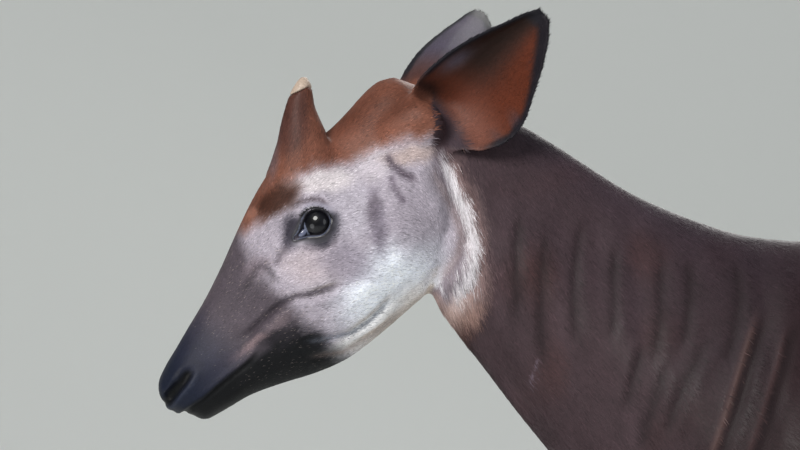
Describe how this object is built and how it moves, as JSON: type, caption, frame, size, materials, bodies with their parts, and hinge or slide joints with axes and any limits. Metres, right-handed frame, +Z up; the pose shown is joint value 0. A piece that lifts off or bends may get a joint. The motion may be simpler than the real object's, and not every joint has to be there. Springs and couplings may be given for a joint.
{
  "type": "standing okapi model",
  "caption": "Life-size still okapi standing on cloven hooves, long neck lowered, horns, broad cupped ears, striped rump and legs, tufted tail.",
  "frame": {"origin": "on the floor under the middle of the whole animal's bounding box", "axes": "+Z up, -X the way the nose points, -Y the animal's left side"},
  "size_m": [1.964, 0.496, 1.8636],
  "materials": {
    "coat": "short dark brown hair",
    "face_coat": "short grey to cream hair, bare dark muzzle",
    "pale_coat": "short cream hair with dark bands",
    "ear_coat": "short dark hair outside, russet hair inside",
    "tail_hair": "long dark hair",
    "bare_horn": "worn bare bone",
    "hoof": "dark horn, faintly ringed",
    "eye": "wet and clear"
  },
  "bodies": {
    "root": {"head": "face_coat", "neck": "coat", "torso": "coat", "tail_dock": "coat", "tail_tuft": "tail_hair", "ear_left": "ear_coat", "eye_left": "eye", "ossicone_left": "coat", "ossicone_tip_left": "bare_horn", "foreleg_upper_left": "coat", "foreleg_lower_left": "pale_coat", "hoof_fore_left_inner": "hoof", "hoof_fore_left_outer": "hoof", "hindleg_upper_left": "coat", "hindleg_lower_left": "pale_coat", "hoof_hind_left_inner": "hoof", "hoof_hind_left_outer": "hoof", "ear_right": "ear_coat", "eye_right": "eye", "ossicone_right": "coat", "ossicone_tip_right": "bare_horn", "foreleg_upper_right": "coat", "foreleg_lower_right": "pale_coat", "hoof_fore_right_inner": "hoof", "hoof_fore_right_outer": "hoof", "hindleg_upper_right": "coat", "hindleg_lower_right": "pale_coat", "hoof_hind_right_inner": "hoof", "hoof_hind_right_outer": "hoof"}
  },
  "joints": []
}
